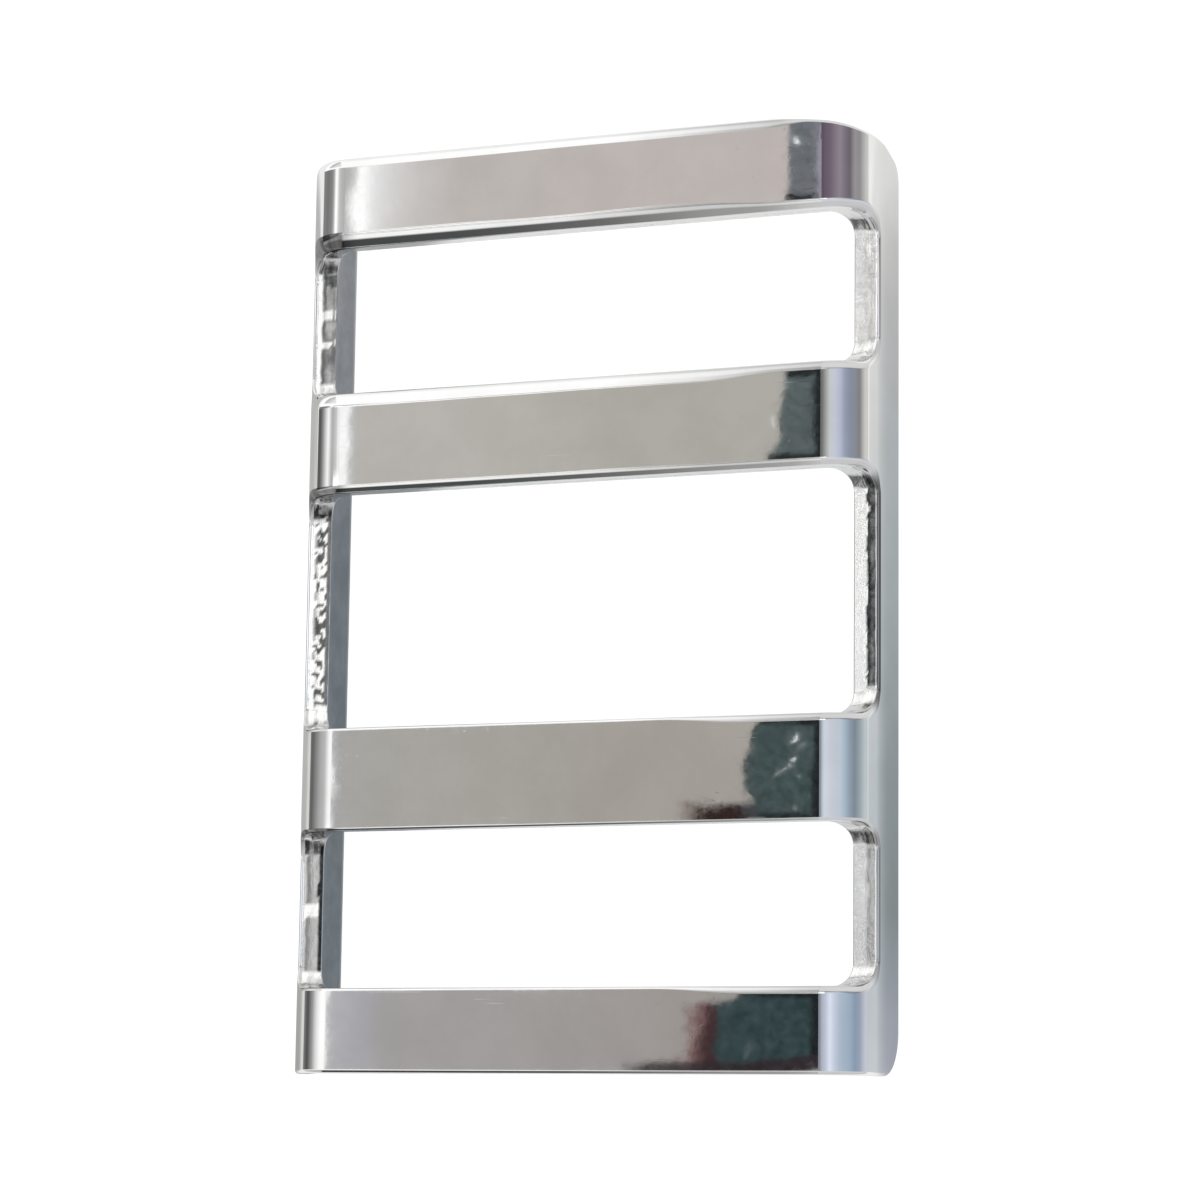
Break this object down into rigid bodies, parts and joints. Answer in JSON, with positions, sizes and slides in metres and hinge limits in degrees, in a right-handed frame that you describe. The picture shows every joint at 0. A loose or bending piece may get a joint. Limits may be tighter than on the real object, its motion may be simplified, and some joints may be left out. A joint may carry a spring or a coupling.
{
  "type": "buckle slider",
  "caption": "Ladder slider: one pierced and bent sheet-steel channel with parallel cross bars and strap windows between them, plated bright, for 25 mm webbing.",
  "frame": {"origin": "bottom centre: the middle of the outline in X and Y, on the plane the two side-wall feet stand on", "axes": "+X across the strap, along the bars; +Y along the strap, the long direction; +Z out of the polished show face"},
  "size_m": [0.028, 0.0424, 0.0042],
  "materials": {
    "plating": "bright nickel plate over sheet steel: mirror-like show face, duller sheared edges"
  },
  "bodies": {
    "root": {"slider_frame": "plating"}
  },
  "joints": []
}
